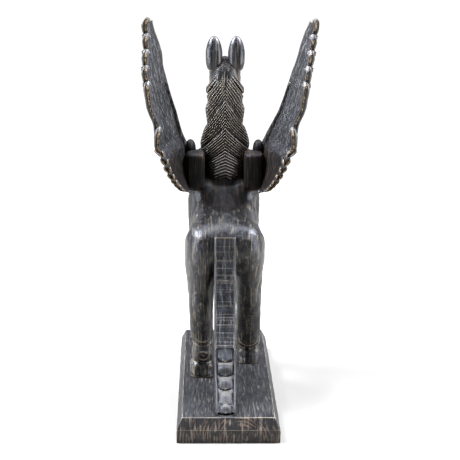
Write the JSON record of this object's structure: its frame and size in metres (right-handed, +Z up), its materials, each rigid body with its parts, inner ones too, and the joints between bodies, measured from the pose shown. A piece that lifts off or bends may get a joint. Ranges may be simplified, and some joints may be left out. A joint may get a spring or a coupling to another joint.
{
  "type": "winged horse sculpture",
  "caption": "Carved wooden winged horse, ebonised and waxed, on a bevelled plinth, with upswept feathered wings, a herringbone mane and a long tail that sweeps down behind",
  "frame": {"origin": "Centre of the plinth's underside, on the floor that it stands on", "axes": "+Z is up, the horse looks along -Y, and its own left side is +X"},
  "size_m": [0.4429, 0.78, 0.9975],
  "materials": {
    "plinth_wood": "ebonised and waxed, blue-black, the pale ground rubbed through in the grain, brown growth rings on the end",
    "horse_wood": "ebonised and waxed to a soft sheen, brown in the cuts and pale where it is rubbed through",
    "wing_wood": "ebonised and waxed, pale lengthwise grain, brown end grain along the feathers' edges",
    "tail_wood": "ebonised and waxed, with pale cross lines on the squared back face"
  },
  "bodies": {
    "root": {"plinth": "plinth_wood", "horse": "horse_wood", "wing_left": "wing_wood", "wing_right": "wing_wood", "tail": "tail_wood"}
  },
  "joints": []
}
